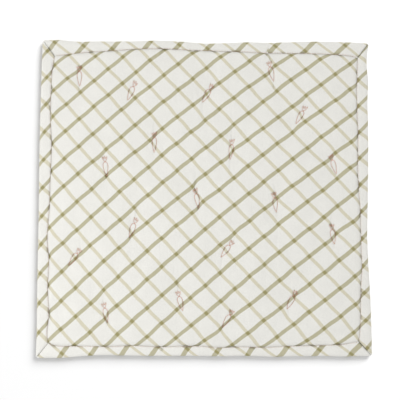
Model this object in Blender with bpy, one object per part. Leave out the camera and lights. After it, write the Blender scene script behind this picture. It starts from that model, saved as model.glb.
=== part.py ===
"""Padded square quilt with a wide mitred edge, lying flat.

The pad is one filled solid: a crowned top that dips at every hand-stitched motif, a sewn groove along
its edge, and a rim that runs on outside the groove. Four strips of the same cloth wrap that rim, over
the top and under the pad, and meet on the mitres. The origin is at the middle of the underside, +Z up.
"""

import math
from collections import namedtuple

import bmesh
import bpy
import numpy as np

MM = 0.001  # every size below is in millimetres

Corner = namedtuple("Corner", "outer_x outer_y seam_x seam_y")
Wave = namedtuple("Wave", "share edge_in seam_in")
Motif = namedtuple("Motif", "x y lean_deg")

# The plan: where the outer edge and the sewn groove turn at each corner.
CORNERS = {
    "bottom_left": Corner(-521.3, -493.0, -483.0, -447.0),
    "bottom_right": Corner(521.0, -487.0, 480.5, -442.0),
    "top_right": Corner(511.0, 482.0, 476.5, 437.5),
    "top_left": Corner(-499.0, 492.2, -462.0, 443.0),
}
# Each side runs anticlockwise from its first corner to its second.
SIDES = {
    "bottom": ("bottom_left", "bottom_right"),
    "right": ("bottom_right", "top_right"),
    "top": ("top_right", "top_left"),
    "left": ("top_left", "bottom_left"),
}
# How far the edge and the groove lie inside the straight line between their corners, at each share
# of the side's length. A negative figure lies outside it.
WAVES = {
    "bottom": [
        Wave(0.03, 0.0, -8.0),
        Wave(0.08, 0.0, -9.0),
        Wave(0.14, 5.0, -10.0),
        Wave(0.20, 7.5, -11.0),
        Wave(0.27, 6.0, -8.5),
        Wave(0.35, 4.5, -12.5),
        Wave(0.49, 3.5, -11.5),
        Wave(0.55, 2.0, -16.0),
        Wave(0.62, 3.0, -14.0),
        Wave(0.69, 0.0, -16.0),
        Wave(0.77, 0.5, -13.0),
        Wave(0.86, 1.0, -11.0),
        Wave(0.92, -1.0, -9.5),
        Wave(0.97, 0.0, -5.0),
    ],
    "right": [
        Wave(0.04, 0.0, -3.0),
        Wave(0.10, 1.0, -5.5),
        Wave(0.18, 3.0, -6.0),
        Wave(0.26, 6.5, -10.5),
        Wave(0.33, 9.5, -8.5),
        Wave(0.40, 10.5, -7.0),
        Wave(0.47, 8.5, -5.5),
        Wave(0.54, 7.0, -1.0),
        Wave(0.62, 5.0, 1.5),
        Wave(0.73, 4.5, 0.0),
        Wave(0.83, 5.0, 3.0),
        Wave(0.88, 2.5, 3.5),
        Wave(0.93, 7.0, 2.5),
        Wave(0.97, 4.5, 1.0),
    ],
    "top": [
        Wave(0.03, -1.5, -6.0),
        Wave(0.07, -3.0, -8.5),
        Wave(0.13, -4.0, -11.0),
        Wave(0.19, -3.5, -12.0),
        Wave(0.25, -1.0, -12.0),
        Wave(0.31, 1.0, -12.5),
        Wave(0.37, 0.0, -15.5),
        Wave(0.44, 3.5, -17.0),
        Wave(0.51, 5.0, -18.5),
        Wave(0.57, 0.5, -21.0),
        Wave(0.65, -2.0, -24.0),
        Wave(0.73, 1.0, -22.5),
        Wave(0.82, 2.0, -16.0),
        Wave(0.90, 3.0, -11.0),
        Wave(0.95, -1.0, -5.5),
    ],
    "left": [
        Wave(0.05, -1.5, -6.5),
        Wave(0.12, -2.0, -8.5),
        Wave(0.20, -2.5, -9.0),
        Wave(0.31, -3.0, -3.0),
        Wave(0.44, -2.0, -4.5),
        Wave(0.53, -1.0, -5.0),
        Wave(0.63, -0.5, -9.5),
        Wave(0.72, -0.5, -2.5),
        Wave(0.81, 0.0, -4.5),
        Wave(0.90, 1.0, 1.0),
        Wave(0.97, 0.5, -3.0),
    ],
}
# The tufting motifs: the middle of each, and how far its lower tip leans to the right of straight down.
MOTIFS = [
    Motif(-385, 380, 1),
    Motif(-224, 334, -23),
    Motif(-153, 175, -1),
    Motif(-304, 100, 7),
    Motif(-21, 1, 10),
    Motif(11, 326, -29),
    Motif(85, 153, -7),
    Motif(209, 394, 14),
    Motif(300, 259, -30),
    Motif(402, 106, 16),
    Motif(-401, -181, -35),
    Motif(-220, -90, -19),
    Motif(-304, -353, 11),
    Motif(-73, -317, 15),
    Motif(71, -156, -36),
    Motif(221, -11, 7),
    Motif(73, -372, -31),
    Motif(271, -314, -26),
    Motif(400, -110, 9),
]
MOTIF_LENGTH = 60.0

# Heights above the surface that the quilt lies on.
CROWN_Z = 20.0  # the pad between its motifs
GROOVE_Z = 12.0  # the pad in the sewn groove
EDGE_Z = 7.5  # where the wrapped edge reaches furthest out
ROLL_Z = 16.5  # the top of the wrapped edge
SEAM_Z = 13.0  # the top of the strip where it is sewn down
CROWN_RISE = 5.0  # distance over which the pad climbs out of the groove
TUFT_SHARE = 0.6  # how much of the crown a motif takes away
TUFT_REACH = 27.0  # distance over which the crown comes back

CLOTH = 1.2  # the strip's thickness: two plies of cotton
GAP = 0.4  # between pieces; it narrows to 0.3 where the edge bends
CORNER_RADIUS = 8.0
GROOVE_CLEAR = 0.6  # the groove's floor lies this far inside the strip's sewn edge
UNDERSIDE_STEP = 0.9  # the pad comes down to the surface this far inside the strip's lower edge

# Stations along a side, as distances from the groove's corner, before even spacing takes over.
END_STATIONS = (0.0, 4.0, 10.0, 20.0, 34.0)
SIDE_LENGTH = 912.0  # the groove along a middling side
EVEN_STATIONS = 29
FINE_REACH = 45.0  # the pad's mesh is twice as fine this near to a motif

# The strip's section, from its sewn edge over the top to its lower edge.
SECTION_SHARES = (1.0, 0.95, 0.8, 0.5, 0.26, 0.1, 0.03, 0.0, 0.08, 0.32, 1.0)
SECTION_TOP = 8  # the section's first points, down to the outermost one, are its upper side
ROLL_SHOULDER = 4.5  # how flat the roll stays before it drops to its sewn edge
OUTER_ROUND = 2.8  # how square the roll's outer side is; 2 would be an ellipse
MITRE_PINCH = 0.12  # the roll is this much lower on its mitre
MITRE_REACH = 8.0

CLOTH_COLOUR = (0.86, 0.85, 0.80, 1.0)
CLOTH_ROUGHNESS = 0.9


def spline(rows, share):
    """A smooth curve through (share, value) rows, flat at neither end."""
    shares = np.array([r[0] for r in rows])
    values = np.array([r[1] for r in rows])
    slopes = np.gradient(values, shares)
    k = int(np.clip(np.searchsorted(shares, share) - 1, 0, len(rows) - 2))
    span = shares[k + 1] - shares[k]
    t = (share - shares[k]) / span
    return float(
        values[k] * (1 + 2 * t) * (1 - t) ** 2
        + slopes[k] * span * t * (1 - t) ** 2
        + values[k + 1] * t * t * (3 - 2 * t)
        + slopes[k + 1] * span * t * t * (t - 1)
    )


def wave_in(side, column, share):
    rows = [(w.share, getattr(w, column)) for w in WAVES[side]]
    return spline([(0.0, 0.0), *rows, (1.0, 0.0)], share)


def side_frame(start, end):
    """Unit vectors along a side and inwards from it, and its length."""
    along = end - start
    length = float(np.hypot(*along))
    along = along / length
    return along, np.array([-along[1], along[0]]), length


def outer_point(side, share):
    """A point of the outer edge. The corner's arc is shared between the two sides that meet there."""
    first, last = (CORNERS[name] for name in SIDES[side])
    start = np.array([first.outer_x, first.outer_y])
    end = np.array([last.outer_x, last.outer_y])
    along, inwards, length = side_frame(start, end)
    from_corner = min(share, 1 - share) * length
    travel, inset = from_corner, 0.0
    if from_corner < CORNER_RADIUS:
        turn = math.pi / 4 * (1 - from_corner / CORNER_RADIUS)
        travel = CORNER_RADIUS * (1 - math.sin(turn))
        inset = CORNER_RADIUS * (1 - math.cos(turn))
    distance = travel if share <= 0.5 else length - travel
    return start + along * distance + inwards * (inset + wave_in(side, "edge_in", share))


def seam_point(side, share):
    """A point of the line along which the strip is sewn down."""
    first, last = (CORNERS[name] for name in SIDES[side])
    start = np.array([first.seam_x, first.seam_y])
    end = np.array([last.seam_x, last.seam_y])
    _, inwards, _ = side_frame(start, end)
    return start + (end - start) * share + inwards * wave_in(side, "seam_in", share)


def inwards_of(side):
    first, last = (CORNERS[name] for name in SIDES[side])
    start = np.array([first.seam_x, first.seam_y])
    end = np.array([last.seam_x, last.seam_y])
    return side_frame(start, end)[1]


def width_at(side, share):
    """The edge's width, square to the side."""
    return float((seam_point(side, share) - outer_point(side, share)) @ inwards_of(side))


def across(side, share, width, inset):
    """The plan point that lies this far in from the outer edge, on the line that crosses the edge here."""
    outer = outer_point(side, share)
    return outer + (seam_point(side, share) - outer) * (inset / width)


def roll_section(width, from_corner):
    """The strip's outer face in section, as (inset, height), from its sewn edge to its lower edge."""
    crest = ROLL_Z * (1 - MITRE_PINCH * math.exp(-from_corner / MITRE_REACH))
    points = []
    for k, share in enumerate(SECTION_SHARES):
        if k >= SECTION_TOP:
            reach = SECTION_SHARES[-2]
            height = EDGE_Z * (1 - math.sqrt(max(0.0, 1 - (1 - share / reach) ** 2)))
            height = height if share < reach else 0.0
        elif share >= 0.5:
            fall = ((share - 0.5) / 0.5) ** ROLL_SHOULDER
            height = SEAM_Z + (crest - SEAM_Z) * (1 - fall) ** 0.75
        else:
            curve = (1 - (1 - share / 0.5) ** OUTER_ROUND) ** (1 / OUTER_ROUND)
            height = EDGE_Z + (crest - EDGE_Z) * curve
        points.append((share * width, height))
    return np.array(points)


def parallel(section, depth):
    """The section moved into the cloth by the same depth all along."""
    steps = np.diff(section, axis=0)
    steps /= np.linalg.norm(steps, axis=1)[:, None]
    into = np.stack([-steps[:, 1], steps[:, 0]], axis=1)
    before = np.vstack([into[:1], into])
    after = np.vstack([into, into[-1:]])
    middle = before + after
    return section + depth * 2 * middle / (middle**2).sum(axis=1)[:, None]


def strip_section(width, from_corner):
    """The closed section of the strip: its outer face, then its inner face back again."""
    outer = roll_section(width, from_corner)
    return np.vstack([outer, parallel(outer, CLOTH)[::-1]])


def rim_section(width, from_corner):
    """The pad's section from the groove's floor, inside the strip, to the underside."""
    section = parallel(roll_section(width, from_corner), CLOTH + GAP)
    section[-1] = (width + UNDERSIDE_STEP / 2, CLOTH + GAP)
    return np.vstack([[(width + GROOVE_CLEAR, GROOVE_Z)], section, [(width + UNDERSIDE_STEP, 0.0)]])


def stations():
    """Shares of a side, close together at its ends and even between them."""
    near = [d / SIDE_LENGTH for d in END_STATIONS]
    even = np.linspace(near[-1], 1 - near[-1], EVEN_STATIONS + 1)
    return np.array(near[:-1] + list(even) + [1 - d for d in near[-2::-1]])


SHARES = stations()
LAST = len(SHARES) - 1  # the index of the last station
LENGTH_TO_CORNER = np.minimum(SHARES, 1 - SHARES) * SIDE_LENGTH


def share_at(index):
    return float(np.interp(index, np.arange(LAST + 1), SHARES))


def panel_point(i, j):
    """A point of the pad inside the groove: its four sides blended at these station indices."""
    p, q = share_at(i), share_at(j)
    bottom, top = seam_point("bottom", p), seam_point("top", 1 - p)
    left, right = seam_point("left", 1 - q), seam_point("right", q)
    corner = {name: np.array([c.seam_x, c.seam_y]) for name, c in CORNERS.items()}
    flat = (
        corner["bottom_left"] * (1 - p) * (1 - q)
        + corner["bottom_right"] * p * (1 - q)
        + corner["top_left"] * (1 - p) * q
        + corner["top_right"] * p * q
    )
    return bottom * (1 - q) + top * q + left * (1 - p) + right * p - flat


def from_motif(point, motif):
    """Distance from a plan point to the line down the middle of a motif."""
    lean = math.radians(motif.lean_deg)
    down = np.array([math.sin(lean), -math.cos(lean)])
    offset = point - np.array([motif.x, motif.y])
    slide = np.clip(offset @ down, -MOTIF_LENGTH * 0.4, MOTIF_LENGTH * 0.4)
    return float(np.hypot(*(offset - slide * down)))


def lumps(point):
    """The wadding's slow unevenness, about a millimetre either way."""
    x, y = point
    return (
        0.6 * math.sin(x / 47 + 1.3 * math.sin(y / 90))
        + 0.5 * math.sin(y / 39 + 0.8 * math.sin(x / 70) + 1.0)
    )


def panel_height(point, i, j):
    """The pad's top: it climbs out of the groove and dips at every motif."""
    rise = 1.0
    for index in (i, j):
        near = min(share_at(index), 1 - share_at(index)) * SIDE_LENGTH
        rise *= 1 - math.exp(-near / CROWN_RISE)
    for motif in MOTIFS:
        rise *= 1 - TUFT_SHARE * math.exp(-from_motif(point, motif) / TUFT_REACH)
    return GROOVE_Z + (CROWN_Z - GROOVE_Z + lumps(point)) * rise


def side_of(i, j):
    """The side and its station that a vertex on the square's boundary belongs to."""
    if j == 0:
        return "bottom", i
    if i == LAST:
        return "right", j
    if j == LAST:
        return "top", LAST - i
    return "left", LAST - j


def rim_point(i, j, ring):
    """A vertex of the pad outside the groove. A corner takes the narrower of the two widths it joins."""
    side, station = side_of(i, j)
    share = float(SHARES[station])
    width = width_at(side, share)
    if station in (0, LAST):
        names = list(SIDES)
        step = 1 if station else -1
        other = names[(names.index(side) + step) % len(names)]
        width = min(width, width_at(other, 1.0 - share))
    inset, height = rim_section(width, LENGTH_TO_CORNER[station])[ring]
    return (*across(side, share, width, inset), height)


def pad_point(index_point):
    """Where a vertex of the index square goes: (station, station, ring outwards from the groove)."""
    i, j, ring = index_point
    on_boundary = i in (0, LAST) or j in (0, LAST)
    if on_boundary:
        return rim_point(int(i), int(j), int(ring))
    if ring > 0:
        return (*panel_point(i, j), 0.0)
    point = panel_point(i, j)
    return (*point, panel_height(point, i, j))


def refine_near_motifs(bm):
    """Halves the faces that lie near a motif, so that its dip is round."""
    edges = set()
    for face in bm.faces:
        middle = face.calc_center_median()
        if min(middle.x, middle.y, LAST - middle.x, LAST - middle.y) < len(END_STATIONS) - 1:
            continue
        point = panel_point(middle.x, middle.y)
        if min(from_motif(point, motif) for motif in MOTIFS) < FINE_REACH:
            edges.update(face.edges)
    bmesh.ops.subdivide_edges(bm, edges=list(edges), cuts=1, use_grid_fill=True)


def extrude_rim(bm, rings):
    """Extrudes the square's boundary ring by ring, with the ring's number as its height."""
    edges = [e for e in bm.edges if e.is_boundary]
    for ring in range(1, rings + 1):
        grown = bmesh.ops.extrude_edge_only(bm, edges=edges)["geom"]
        for vertex in (g for g in grown if isinstance(g, bmesh.types.BMVert)):
            vertex.co.z = ring
        edges = [g for g in grown if isinstance(g, bmesh.types.BMEdge) and g.is_boundary]
    return edges


def fabric(name, colour):
    material = bpy.data.materials.new(name)
    material.use_nodes = True
    shader = material.node_tree.nodes["Principled BSDF"]
    shader.inputs["Base Color"].default_value = colour
    shader.inputs["Roughness"].default_value = CLOTH_ROUGHNESS
    shader.inputs["Metallic"].default_value = 0.0
    return material


def finish_object(name, bm, colour, collection):
    """Turns the bmesh, in millimetres, into a named object in metres with its own material."""
    bmesh.ops.recalc_face_normals(bm, faces=bm.faces)
    if bm.calc_volume(signed=True) < 0:
        bmesh.ops.reverse_faces(bm, faces=bm.faces)
    bmesh.ops.scale(bm, vec=(MM, MM, MM), verts=bm.verts)
    mesh = bpy.data.meshes.new(name)
    bm.to_mesh(mesh)
    bm.free()
    mesh.materials.append(fabric(name, colour))
    mesh.shade_smooth()
    mesh.set_sharp_from_angle(angle=math.radians(50))
    obj = bpy.data.objects.new(name, mesh)
    collection.objects.link(obj)
    return obj


def make_pad(collection):
    bm = bmesh.new()
    bmesh.ops.create_grid(bm, x_segments=LAST, y_segments=LAST, size=LAST / 2)
    for vertex in bm.verts:
        vertex.co.x = round(vertex.co.x + LAST / 2)
        vertex.co.y = round(vertex.co.y + LAST / 2)
    refine_near_motifs(bm)
    rings = len(SECTION_SHARES) + 1
    edges = extrude_rim(bm, rings)
    base = bmesh.ops.contextual_create(bm, geom=edges)["faces"]
    middle = bmesh.ops.poke(bm, faces=base)["verts"][0]
    middle.co = (LAST / 2, LAST / 2, rings)
    for vertex in bm.verts:
        vertex.co = pad_point(vertex.co)
    return finish_object("quilt_pad", bm, CLOTH_COLOUR, collection)


def strip_points(side):
    """The strip's points, one row for each station. Its ends stop half a gap short of the mitres."""
    rows = []
    shares = SHARES.copy()
    half_gap = GAP / 2 * math.sqrt(2) / SIDE_LENGTH
    shares[0] += half_gap
    shares[-1] -= half_gap
    for share, from_corner in zip(shares, LENGTH_TO_CORNER):
        width = width_at(side, share)
        section = strip_section(width, from_corner)
        rows.append([(*across(side, share, width, inset), height) for inset, height in section])
    return rows


def make_strip(side, collection):
    """Lofts the strip: a grid with a column for each station, closed round its section and at its ends."""
    rows = strip_points(side)
    around = len(rows[0])
    bm = bmesh.new()
    bmesh.ops.create_grid(bm, x_segments=LAST, y_segments=around - 1, size=0.5)
    seams = ([], [])
    for edge in bm.edges:
        heights = {round((v.co.y + 0.5) * (around - 1)) for v in edge.verts}
        if heights in ({0}, {around - 1}):
            seams[0 if heights == {0} else 1].append(edge)
    bmesh.ops.bridge_loops(bm, edges=seams[0] + seams[1])
    for vertex in bm.verts:
        station = round((vertex.co.x + 0.5) * LAST)
        turn = round((vertex.co.y + 0.5) * (around - 1))
        vertex.co = rows[station][turn]
    bmesh.ops.holes_fill(bm, edges=[e for e in bm.edges if e.is_boundary], sides=around)
    return finish_object(f"binding_{side}", bm, CLOTH_COLOUR, collection)


def main():
    for obj in list(bpy.data.objects):
        bpy.data.objects.remove(obj)
    quilt = bpy.data.collections.new("quilted_blanket")
    bpy.context.scene.collection.children.link(quilt)
    make_pad(quilt)
    for side in SIDES:
        make_strip(side, quilt)


main()
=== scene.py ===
"""Looks of the padded square quilt: its checked cotton, puckers, coral sewing, light and camera.

Plan sizes are in millimetres, as in the solids' own source, and become metres where a mesh is made.
Cloth sizes, which place the woven check, are millimetres of flat cloth.
"""

import math
from collections import namedtuple

import bmesh
import bpy
import numpy as np
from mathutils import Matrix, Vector
from mathutils.bvhtree import BVHTree


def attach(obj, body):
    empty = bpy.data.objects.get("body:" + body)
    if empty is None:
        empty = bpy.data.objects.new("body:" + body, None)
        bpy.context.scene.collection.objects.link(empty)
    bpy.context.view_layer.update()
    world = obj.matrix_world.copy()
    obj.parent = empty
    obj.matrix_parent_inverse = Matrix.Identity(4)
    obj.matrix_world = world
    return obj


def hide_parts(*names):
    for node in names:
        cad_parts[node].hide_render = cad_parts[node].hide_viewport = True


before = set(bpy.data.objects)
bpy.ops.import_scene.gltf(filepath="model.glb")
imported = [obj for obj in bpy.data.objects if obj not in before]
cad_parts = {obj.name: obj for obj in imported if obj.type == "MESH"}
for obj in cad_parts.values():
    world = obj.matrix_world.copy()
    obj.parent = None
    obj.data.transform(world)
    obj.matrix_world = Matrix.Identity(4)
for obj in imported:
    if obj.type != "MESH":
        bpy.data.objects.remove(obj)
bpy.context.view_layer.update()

MM = 0.001

Corner = namedtuple("Corner", "outer seam")
Wave = namedtuple("Wave", "share edge_in seam_in")
Motif = namedtuple("Motif", "x y lean_deg gather crease_up crease_down")
Tuck = namedtuple("Tuck", "share into_pad into_edge depth")
Slip = namedtuple("Slip", "share along out spread")
EdgeCloth = namedtuple("EdgeCloth", "hidden slip ease twist")
Check = namedtuple("Check", "crossed_deg pitch width start skew bow_x bow_y")

# Where the outer edges and the seams meet at each corner, before the outer one is rounded.
CORNERS = {
    "bottom_left": Corner((-521.3, -493.0), (-483.0, -447.0)),
    "bottom_right": Corner((521.0, -487.0), (480.5, -442.0)),
    "top_right": Corner((511.0, 482.0), (476.5, 437.5)),
    "top_left": Corner((-499.0, 492.2), (-462.0, 443.0)),
}
SIDES = {
    "bottom": ("bottom_left", "bottom_right"),
    "right": ("bottom_right", "top_right"),
    "top": ("top_right", "top_left"),
    "left": ("top_left", "bottom_left"),
}
PHASES = {"bottom": 6, "right": 5, "top": 3, "left": 4}  # so that no two sides pucker alike
# How far the outer edge and the seam bend in from the straight line between a side's corners.
WAVES = {
    "bottom": [
        (0.03, 0, -8), (0.08, 0, -9), (0.14, 5, -10), (0.20, 7.5, -11), (0.27, 6, -8.5),
        (0.35, 4.5, -12.5), (0.49, 3.5, -11.5), (0.55, 2, -16), (0.62, 3, -14), (0.69, 0, -16),
        (0.77, 0.5, -13), (0.86, 1, -11), (0.92, -1, -9.5), (0.97, 0, -5),
    ],
    "right": [
        (0.04, 0, -3), (0.10, 1, -5.5), (0.18, 3, -6), (0.26, 6.5, -10.5), (0.33, 9.5, -8.5),
        (0.40, 10.5, -7), (0.47, 8.5, -5.5), (0.54, 7, -1), (0.62, 5, 1.5), (0.73, 4.5, 0),
        (0.83, 5, 3), (0.88, 2.5, 3.5), (0.93, 7, 2.5), (0.97, 4.5, 1),
    ],
    "top": [
        (0.03, -1.5, -6), (0.07, -3, -8.5), (0.13, -4, -11), (0.19, -3.5, -12), (0.25, -1, -12),
        (0.31, 1, -12.5), (0.37, 0, -15.5), (0.44, 3.5, -17), (0.51, 5, -18.5), (0.57, 0.5, -21),
        (0.65, -2, -24), (0.73, 1, -22.5), (0.82, 2, -16), (0.90, 3, -11), (0.95, -1, -5.5),
    ],
    "left": [
        (0.05, -1.5, -6.5), (0.12, -2, -8.5), (0.20, -2.5, -9), (0.31, -3, -3), (0.44, -2, -4.5),
        (0.53, -1, -5), (0.63, -0.5, -9.5), (0.72, -0.5, -2.5), (0.81, 0, -4.5), (0.90, 1, 1),
        (0.97, 0.5, -3),
    ],
}
# How much cloth a motif draws in across it: a loose, a middling or a tight one.
LOOSE, MIDDLING, TIGHT = 6.0, 12.0, 18.0
# Each motif's middle and lean, how tight it is, and the lengths of the pinched creases that run up
# from its head and down from its tip.
MOTIFS = [
    (-385, 380, 1, LOOSE, 0, 25),
    (-224, 334, -23, LOOSE, 15, 0),
    (-153, 175, -1, MIDDLING, 50, 25),
    (-304, 100, 7, LOOSE, 15, 20),
    (-21, 1, 10, TIGHT, 70, 40),
    (11, 326, -29, TIGHT, 15, 50),
    (85, 153, -7, TIGHT, 45, 55),
    (209, 394, 14, TIGHT, 45, 45),
    (300, 259, -30, MIDDLING, 0, 0),
    (402, 106, 16, TIGHT, 0, 0),
    (-401, -181, -35, LOOSE, 40, 0),
    (-220, -90, -19, MIDDLING, 45, 25),
    (-304, -353, 11, TIGHT, 40, 30),
    (-73, -317, 15, LOOSE, 55, 0),
    (71, -156, -36, LOOSE, 15, 55),
    (221, -11, 7, MIDDLING, 40, 35),
    (73, -372, -31, TIGHT, 0, 15),
    (271, -314, -26, MIDDLING, 0, 25),
    (400, -110, 9, TIGHT, 50, 20),
]
MOTIFS = [Motif(*row) for row in MOTIFS]
GATHER_LENGTHWAYS = 6.0
# How far beside a motif most of the cloth is drawn in, and how slowly that fades outwards.
GATHER_CORE, GATHER_FADE = 10.0, 70.0
GATHER_REACH, GATHER_BY_CREASE = 45.0, 0.35  # how far it reaches up and down, more along a crease
LENGTHWAYS_CORE, LENGTHWAYS_FADE = 25.0, 40.0
# Pinches in the cloth that start from the sewn groove: how far they run over the pad and the edge.
TUCKS = {
    "bottom": [
        (0.37, 8, 30, 2.0), (0.425, 26, 6, 1.6), (0.468, 42, 8, 2.4), (0.486, 36, 6, 2.2),
        (0.54, 26, 8, 1.6), (0.66, 16, 10, 1.2), (0.21, 14, 12, 1.2),
    ],
    "right": [(0.30, 12, 16, 1.4), (0.52, 14, 18, 1.4), (0.80, 12, 16, 1.4)],
    "top": [
        (0.30, 20, 34, 3.2), (0.47, 18, 12, 1.2), (0.645, 38, 12, 1.8), (0.67, 26, 20, 1.8),
        (0.79, 12, 18, 1.6),
    ],
    "left": [(0.17, 10, 16, 1.6), (0.45, 12, 14, 1.2), (0.74, 12, 16, 1.4)],
}
MOTIF_LENGTH = 60.0
ROOT_LENGTH = 45.0
ROOT_TOP = ROOT_LENGTH - MOTIF_LENGTH / 2  # where the leaves leave it, over the motif's middle
ROOT_HALF_WIDTH = 7.3
ROOT_BLUNT = 0.55  # less brings the root's widest place nearer to its shoulder
ROOT_FULL = 0.8  # less keeps it wide for longer
LEAF_LENGTH = 17.5
LEAF_NOTCH = 0.45  # how deep the notches between the three leaves are, as a share of their length
LEAF_SPREAD = 35.0  # degrees from the middle leaf to the tuft's edge
# How much one motif differs from the next: its root's width, its leaves' length and their lean.
ROOT_SWAY, LEAF_SWAY, LEAN_SWAY_DEG = 0.08, 0.12, 7

CROWN_Z = 20.0
GROOVE_Z = 12.0
EDGE_Z = 7.5
ROLL_Z = 16.5
SEAM_Z = 13.0
CROWN_RISE = 5.0
TUFT_SHARE = 0.6
TUFT_REACH = 27.0
TUFT_SPINE = 0.4  # the dip lies round a line this share of the motif's length to either side
CLOTH = 1.2
GAP = 0.4
CORNER_RADIUS = 8.0
GROOVE_CLEAR = 0.6
UNDERSIDE_STEP = 0.9
MITRE_PINCH = 0.12
MITRE_REACH = 8.0
MITRE_FOLD = 3.2
MITRE_FOLD_REACH = 2.2
SIDE_LENGTH = 912.0
CREST_SHARE = 0.5  # where the roll is highest, as a share of its width from its outer edge
ROLL_SHOULDER = 4.5
ROLL_FALL = 0.75
OUTER_ROUND = 2.8
UNDER_SHARE = 0.32  # how far the strip's lower round reaches under, as a share of its width
UNDER_FLAT = (0.66, 1.0)  # its flat underside's points, in the same share
ROLL_DETAIL = (31, 9)  # points over the roll and round under it
RIM_DETAIL = (8, 3)

CREASE_DEPTH = 2.4
CREASE_FOOT = 0.45  # a crease leaves its motif at this share of the motif's length from the middle
CREASE_LEAD = 14.0  # before its foot it deepens over this far
CREASE_HALF_WIDTH = 1.7
CREASE_WIDENS = 0.03
CREASE_SWAY = 2.0
STITCH_SINK = 1.7
STITCH_SINK_REACH = 1.9
ROOT_PUFF = 1.0
ROOT_PUFF_EDGE = 2.5
LUMPS_ACROSS, LUMPS_UPRIGHT = 0.6, 0.5
FINE_WRINKLES, BROAD_WRINKLES = 0.22, 0.4
PUCKERS = 0.55
PUCKER_START, PUCKER_FADE = 2.0, 9.0
EDGE_SWELL = 0.5
CALM_REACH = 12.0  # an edge strip's puckers die down this near a corner
TUCK_HALF_WIDTH = 2.6
TUCK_SWAY = 1.2
# Painted shade where the cloth is folded onto itself: at a crease, along the seam and at a tuck.
STITCH_SHADE_REACH = 2.2
CREASE_SHADE = 0.7
SEAM_SHADE, SEAM_SHADE_VARIES = 0.62, 0.38
SEAM_SHADE_REACH = 4.5
TUCK_FULL_SHADE = 3.0  # a tuck of this depth gets the full painted shade

# The woven check's two sets of lines: which way each is crossed, from +X, the lines' pitch and width,
# how far the middle line lies off the quilt's middle, and how far a line strays by half a quilt out,
# skewed towards the corners or bowed along x or y.
PALE = Check(43.0, 58.0, 10.0, 2.0, 20.0, 0.0, 8.0)
DARK = Check(-50.4, 65.4, 11.6, -9.0, 0.0, -15.0, -15.0)
HALF_QUILT = 500.0
YARN_PITCH = 0.9
UNEVEN = 0.55

# Pad cloth that is drawn down into the groove, and how far from the groove it is drawn.
GROOVE_TAKE_UP = 5.0
GROOVE_REACH = 5.0
# Where the pad was sewn in off its grain: the cloth slid along the seam or outwards under it.
SLIPS = {
    "bottom": [(0.75, 20, 0, 0.25), (0.45, 0, 12, 0.12)],
    "right": [(0.0, 0, 12, 0.08)],
    "top": [(0.90, 0, 10, 0.08)],
    "left": [(0.0, -8, 0, 0.15), (1.0, 8, 0, 0.10)],
}
SLIP_REACH = 60.0
# The edge strips' cloth: what the seam hides, how far it has slipped along the seam at the side's
# middle, how much longer it is than the side, and how it twists as it is rolled over.
EDGE_CLOTH = {
    "bottom": EdgeCloth(20.0, 19.0, 0.04, -0.4),
    "right": EdgeCloth(20.0, 4.0, 0.0, -0.25),
    "top": EdgeCloth(20.0, 6.0, 0.02, -0.4),
    "left": EdgeCloth(20.0, -5.0, 0.0, -0.25),
}

# A mesh's usual step, and the places near a corner where it has lines of its own.
PAD_STEP, PAD_NEAR = 5.0, (0.0, 1.5, 3.2, 5.2, 7.8, 11.0, 15.0)
EDGE_STEP, EDGE_NEAR = 2.6, (0.0, 1.5, 3.5, 6.0, 9.0, 13.0)
SIM_STEP, SIM_NEAR = 7.5, (0.0, 3.0, 7.0)
SIM_HOLD = 4.0  # the cover stays put this near to where it is sewn down
SIM_START = 0.6  # the filling pushes the cover up from this share of its height over the groove
SIM_SLACK = 0.002  # the cover is cut this share larger than the pad
SIM_PRESSURE = 0.3  # gentle: a stronger push takes more of the cover past the cap
SIM_FRAMES = 20
SIM_CAP = 2.5  # no point moves further than this
MOTIF_ZONE = (21.0, 38.0)  # half width and half height round a motif where its stitches draw the cloth
FINE_REACH = 4.5  # the mesh is finest this near a stitch, and in the creases

SEAM_STITCH = (5.6, 2.2, 0.4)  # length, gap, thread radius
MOTIF_STITCH = (4.2, 0.4, 0.78)
STITCH_TIP = 0.45  # how thick a stitch's ends are, as a share of its middle
STITCH_LIFT = 0.55  # how far its middle stands out of the cloth, in radii
STITCH_DIP = 1.0  # how far its ends go down from there
SEAM_STITCH_INSET = 1.0
SEAM_STITCH_START = 0.004  # the share of a side that has no thread at each corner


# ---- plan


def spline(rows, shares):
    """A smooth curve through (share, value) rows, at an array of shares."""
    knots = np.array([r[0] for r in rows])
    values = np.array([r[1] for r in rows])
    slopes = np.gradient(values, knots)
    k = np.clip(np.searchsorted(knots, shares) - 1, 0, len(rows) - 2)
    span = knots[k + 1] - knots[k]
    t = (shares - knots[k]) / span
    return (
        values[k] * (1 + 2 * t) * (1 - t) ** 2
        + slopes[k] * span * t * (1 - t) ** 2
        + values[k + 1] * t * t * (3 - 2 * t)
        + slopes[k + 1] * span * t * t * (t - 1)
    )


def wave_in(side, column, shares):
    rows = [(w.share, getattr(w, column)) for w in map(Wave._make, WAVES[side])]
    return spline([(0.0, 0.0), *rows, (1.0, 0.0)], shares)


def ends_of(side, kind):
    """A side's first and last corner, of the outer edge or of the seam."""
    return [np.array(getattr(CORNERS[name], kind)) for name in SIDES[side]]


def inwards_of(side, kind="seam"):
    start, end = ends_of(side, kind)
    along = (end - start) / np.hypot(*(end - start))
    return np.array([-along[1], along[0]])


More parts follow.
